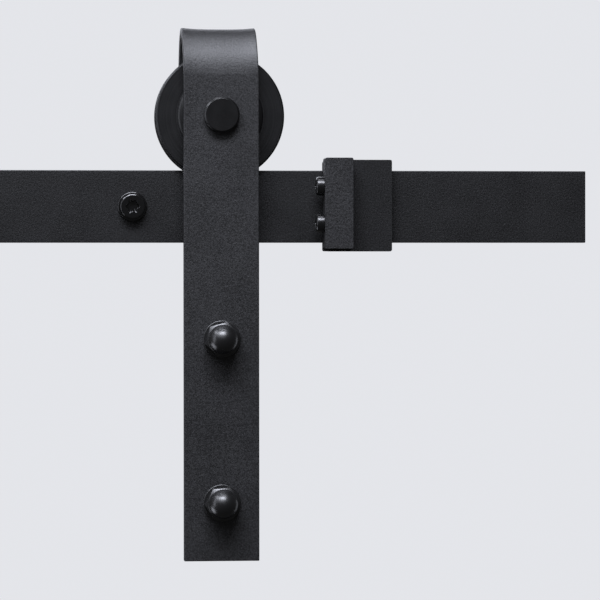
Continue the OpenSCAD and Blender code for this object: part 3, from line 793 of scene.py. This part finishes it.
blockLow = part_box("strike_block")[0]
strikeLow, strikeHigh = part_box("strike_screws")
strikeScrew = {
    "head": 5.15 * mm, "headHigh": 4.8 * mm, "rim": 3.12 * mm, "crown": 1.68 * mm,
    "lobe": 2.4 * mm, "lobeSwing": 0.36 * mm, "lobes": 6, "recess": 2.4 * mm, "shank": 2.5 * mm,
}
strikeBlack = turned("blackZincSide", sideZincLook, plane=(0, 1, 1))
strikeY = (strikeLow.y + strikeHigh.y) / 2
strikeZs = {"Upper": strikeHigh.z - strikeScrew["head"], "Lower": strikeLow.z + strikeScrew["head"]}
for level, z in strikeZs.items():
    screw = makePiece("strikeScrew" + level, [panHead(strikeScrew, strikeHigh.x - blockLow.x, "X")],
                      (blockLow.x, strikeY, z))
    fit(screw, "stop", "black_zinc", strikeBlack, "strike_screws")
print("end stop made")


# Floor, light and camera
stageLook = {
    "floorZ": strapLow.z - 190 * mm, "floorRadius": 1.5, "solidRadius": 0.5, "fadeEnd": 0.97, "glow": 0.5,
    "roughness": 0.75, "cloud": 0.3, "pale": (0.8, 0.805, 0.83, 1), "dull": (0.78, 0.785, 0.81, 1),
}


def stageFloor(look):
    floor = makePiece("floor", [spun([(0, 0), (look["solidRadius"], 0), (look["floorRadius"], 0)], "Z", 128,
                                     closed=False)], (strapMid.x, railMid.y, look["floorZ"]))
    material, start = newMaterial("paleFloor")
    place = start.node("TexCoord", out="Object")
    fade = place.vector("LENGTH").step(look["solidRadius"], look["floorRadius"] * look["fadeEnd"])
    cloud = place.noise(look["cloud"], 3.0)
    colour = cloud.blend(look["dull"], look["pale"])
    paint = start.node("BsdfPrincipled", None, {
        "Base Color": colour, "Roughness": look["roughness"],
        "Emission Color": colour, "Emission Strength": look["glow"]})
    clear = start.node("BsdfTransparent")
    mixed = start.node("MixShader", None, {0: fade, 1: paint, 2: clear})
    start.node("OutputMaterial", None, {"Surface": mixed})
    floor.data.materials.append(material)
    floor.visible_glossy = floor.visible_diffuse = False


stageFloor(stageLook)

worldLook = {
    "ambient": 0.055, "above": 0.03, "aboveFrom": (-0.5, 0.0, 0.86),
    "wall": 0.02, "wallFrom": (-0.2, 0.93, 0.3),
    "light": (1.0, 1.0, 1.03, 1), "pale": (0.775, 0.785, 0.82, 1),
}
world = bpy.data.worlds.new("studio")
scene.world = world
world.use_nodes = True
world.node_tree.nodes.clear()
start = Wire(world.node_tree)
direction = start.node("TexCoord", out="Generated")
above = direction.vector("DOT_PRODUCT", Vector(worldLook["aboveFrom"]).normalized()).step(0.1, 1.0)
behind = direction.vector("DOT_PRODUCT", Vector(worldLook["wallFrom"]).normalized()).step(0.0, 1.0)
strength = above * worldLook["above"] + behind * worldLook["wall"] + worldLook["ambient"]
lit = start.node("Background", None, {"Color": worldLook["light"], "Strength": strength})
seen = start.node("Background", None, {"Color": worldLook["pale"], "Strength": 1.0})
toCamera = start.node("LightPath", out="Is Camera Ray")
start.node("OutputWorld", None, {"Surface": start.node("MixShader", None, {0: toCamera, 1: lit, 2: seen})})

aim = Vector((strapMid.x, strapLow.y, railMid.z))
lights = {
    "key": {"from": (-0.20, -0.92, 1.17), "size": (1.05, 0.44), "power": 25.0},
    "wide": {"from": (-0.6, -1.3, 1.2), "size": (2.0, 1.4), "power": 9.0},
    "overhead": {"from": (-0.05, -0.08, 1.3), "size": (1.1, 0.16), "power": 2.9},
    "shoulder": {"from": (-0.95, -0.2, 0.95), "size": (1.0, 0.32), "power": 5.6},
    "sideLeft": {"from": (-1.3, -0.25, 0.1), "size": (0.4, 1.1), "power": 2.6},
    "lowLeft": {"from": (-1.0, 0.35, -0.75), "size": (0.6, 0.6), "power": 3.0},
    "backRight": {"from": (1.0, 0.9, -0.35), "size": (0.5, 0.9), "power": 0.8},
    "back": {"from": (-0.5, 1.5, 0.8), "size": (1.6, 1.2), "power": 12.0},
}
lightColour = (0.94, 0.97, 1.08)
for name, look in lights.items():
    data = bpy.data.lights.new(name, "AREA")
    data.shape = "RECTANGLE"
    data.size, data.size_y = look["size"]
    data.energy = look["power"]
    data.color = lightColour
    lamp = bpy.data.objects.new(name, data)
    lamp.location = aim + Vector(look["from"])
    lamp.rotation_euler = Vector(look["from"]).to_track_quat("Z", "Y").to_euler()
    lamp.visible_camera = False
    scene.collection.objects.link(lamp)

cameraLook = {
    "place": (0.015, -1.8743, -0.039), "yaw": 5.529, "pitch": -0.3973, "roll": -0.0526,
    "lens": 199.63, "sensor": 36, "near": 0.05, "far": 60,
}
yaw, pitch, roll = [math.radians(cameraLook[key]) for key in ("yaw", "pitch", "roll")]
ahead = Vector((math.sin(yaw) * math.cos(pitch), math.cos(yaw) * math.cos(pitch), math.sin(pitch)))
right = ahead.cross(Vector((0, 0, 1))).normalized()
up = right.cross(ahead)
rolledRight = right * math.cos(roll) + up * math.sin(roll)
rolledUp = up * math.cos(roll) - right * math.sin(roll)
camera = bpy.data.objects.new("camera", bpy.data.cameras.new("camera"))
camera.data.lens, camera.data.sensor_width = cameraLook["lens"], cameraLook["sensor"]
camera.data.clip_start, camera.data.clip_end = cameraLook["near"], cameraLook["far"]
camera.matrix_world = Matrix.Translation(cameraLook["place"]) @ Matrix(
    (rolledRight, rolledUp, -ahead)).transposed().to_4x4()
scene.collection.objects.link(camera)
scene.camera = camera
scene.view_settings.view_transform = "Standard"
print("stage, light and camera made")
